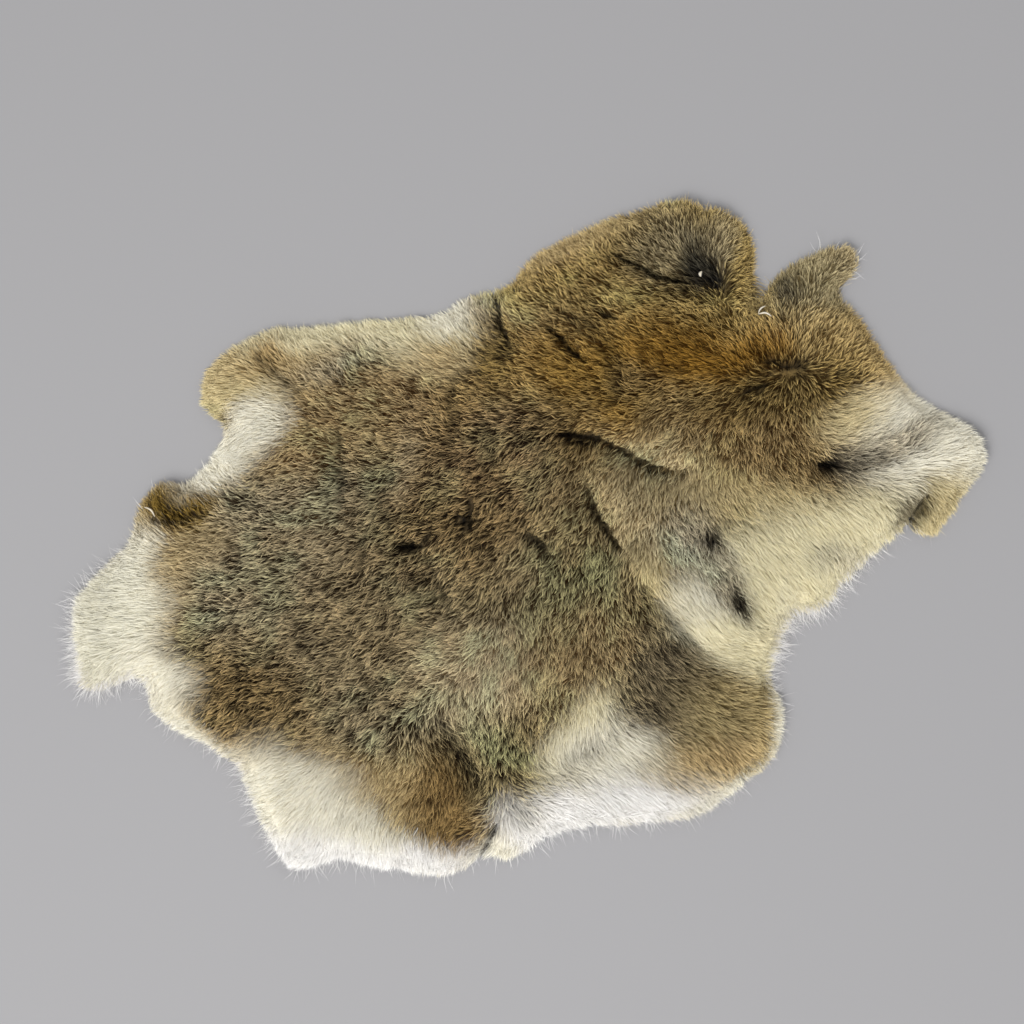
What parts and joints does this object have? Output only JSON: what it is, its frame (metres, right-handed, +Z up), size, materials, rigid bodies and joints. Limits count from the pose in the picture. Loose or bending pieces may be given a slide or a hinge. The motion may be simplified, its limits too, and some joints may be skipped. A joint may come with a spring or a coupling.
{
  "type": "rabbit skin pelt",
  "caption": "Tanned rabbit pelt with its fur on, laid flat fur side up, with an uneven outline of flaps, white belly edges and a brown agouti back.",
  "frame": {"origin": "centre of the bounding box, on the surface that the pelt lies on", "axes": "+X towards the head end, +Y towards the pelt's left flank, +Z up, out of the fur"},
  "size_m": [0.4188, 0.3118, 0.0191],
  "materials": {
    "fur": "soft dense fur, brown agouti with cream and white edges",
    "skin": "suede-like tanned skin, off-white"
  },
  "bodies": {
    "root": {"pelt": "fur"}
  },
  "joints": []
}
